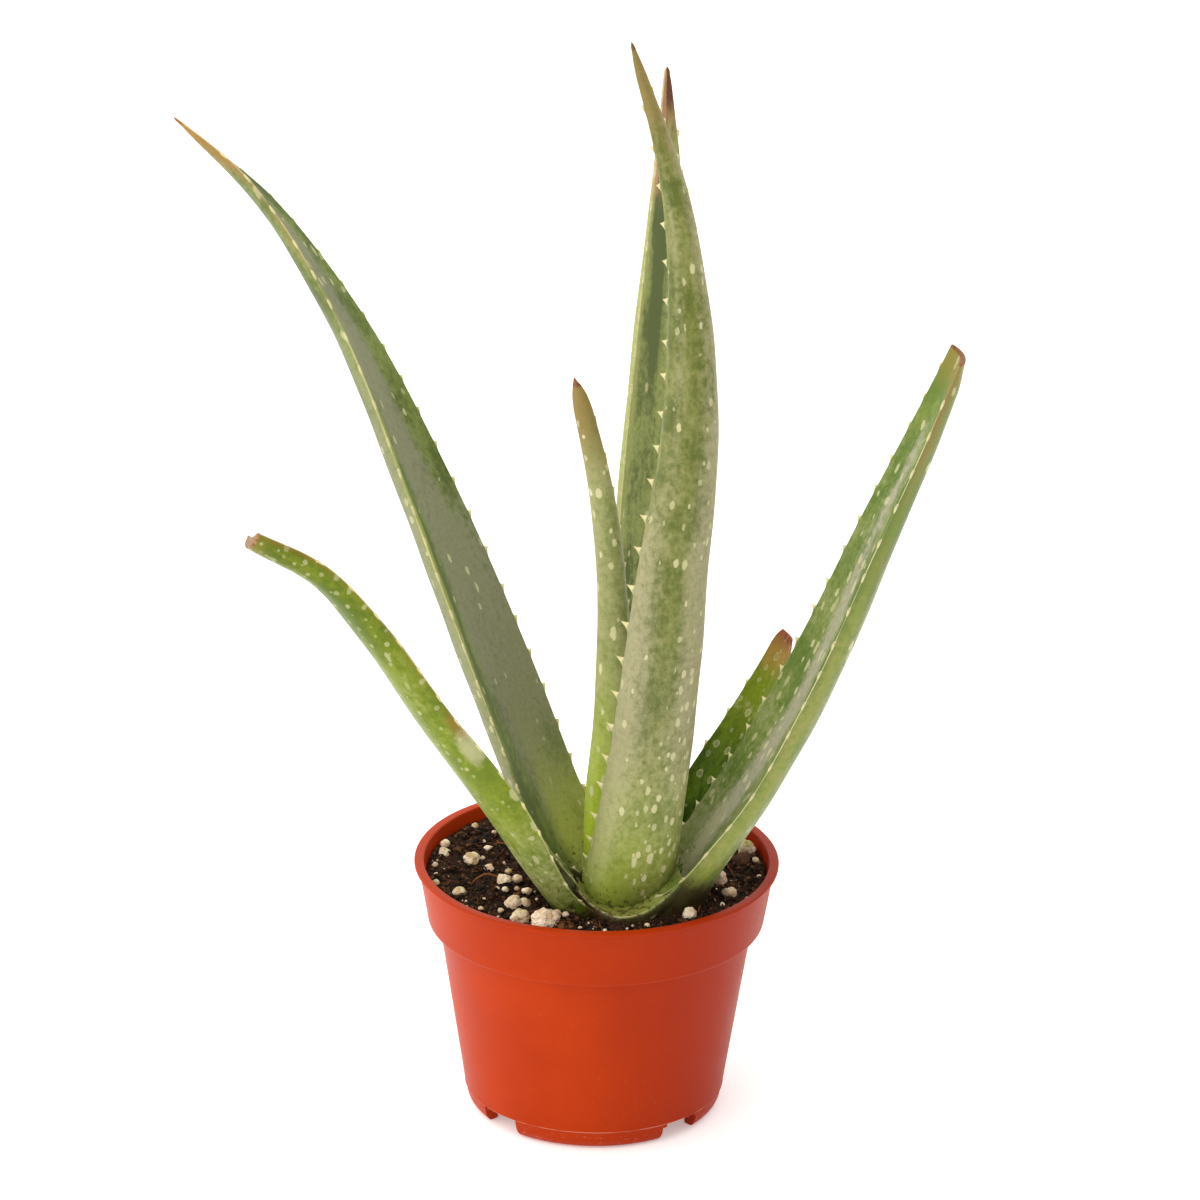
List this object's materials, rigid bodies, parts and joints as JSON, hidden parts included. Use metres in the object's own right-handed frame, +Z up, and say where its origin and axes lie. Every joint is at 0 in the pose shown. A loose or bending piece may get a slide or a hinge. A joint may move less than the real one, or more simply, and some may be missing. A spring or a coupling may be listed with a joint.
{
  "type": "potted aloe plant",
  "caption": "Young aloe with upright, toothed succulent leaves rising from one short rootstock in a round footed plastic nursery pot filled with potting mix and pumice.",
  "frame": {"origin": "on the surface the pot stands on, below the middle of the whole plant's bounding box; the pot's own axis is 11.1 mm towards +X and 4.2 mm towards +Y of it", "axes": "+Z up along the pot's axis; the picture looks along +Y, with +X to its right"},
  "size_m": [0.2232, 0.1238, 0.3185],
  "materials": {
    "pot_plastic": "satin terracotta-coloured moulded plastic with fine dust and scuffs",
    "potting_mix": "matt dark peat with fibres and bark crumbs",
    "rootstock": "matt, dirty olive brown",
    "leaf_glaucous": "waxy satin grey-green with pale oval spots and pale teeth",
    "leaf_green": "waxy satin yellow-green with pale spots and brown dry tips",
    "pumice": "matt, porous cream grains"
  },
  "bodies": {
    "root": {"pot": "pot_plastic", "soil": "potting_mix", "stem": "rootstock", "leaf_front_tall": "leaf_glaucous", "leaf_back_tall": "leaf_glaucous", "leaf_left_tall": "leaf_glaucous", "leaf_right_long": "leaf_glaucous", "leaf_centre_short": "leaf_green", "leaf_left_low": "leaf_green", "leaf_right_short": "leaf_green", "pumice_01": "pumice", "pumice_02": "pumice", "pumice_03": "pumice", "pumice_04": "pumice", "pumice_05": "pumice", "pumice_06": "pumice", "pumice_07": "pumice", "pumice_08": "pumice", "pumice_09": "pumice", "pumice_10": "pumice", "pumice_11": "pumice", "pumice_12": "pumice"}
  },
  "joints": []
}
